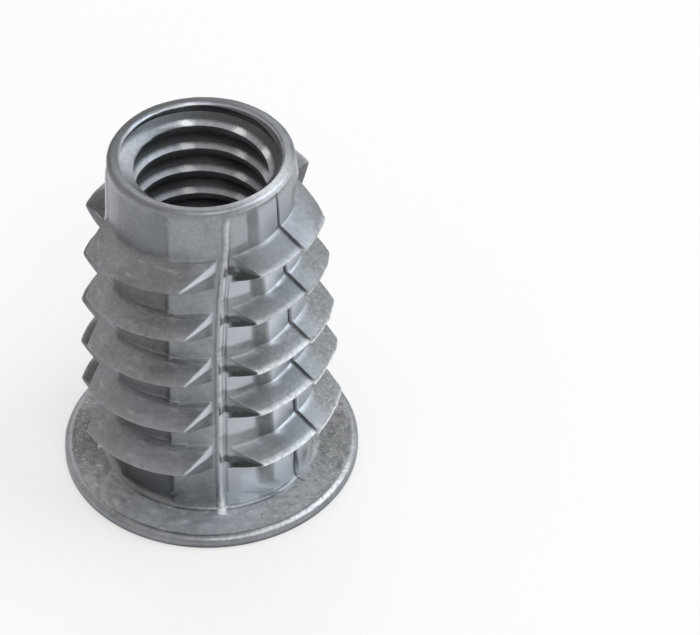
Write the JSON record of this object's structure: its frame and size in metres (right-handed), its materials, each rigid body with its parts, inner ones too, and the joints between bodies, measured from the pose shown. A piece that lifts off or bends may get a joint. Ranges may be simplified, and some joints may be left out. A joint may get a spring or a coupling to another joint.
{
  "type": "threaded insert",
  "caption": "Flanged wood insert: coarse interrupted thread outside, machine-thread bore through the core, hexagon drive socket in the flange end.",
  "frame": {"origin": "centre of the flange's outer face, on the thread axis; the insert stands on that face", "axes": "+Z along the axis from the flange to the threaded mouth; the four parting lines of the casting lie on +X, -X, +Y and -Y, and the hexagon socket's flats face Y"},
  "size_m": [0.0118, 0.0118, 0.015],
  "materials": {
    "die_cast_zinc": "bare die-cast zinc alloy, satin grey, slightly sandy"
  },
  "bodies": {
    "root": {"threaded_insert": "die_cast_zinc"}
  },
  "joints": []
}
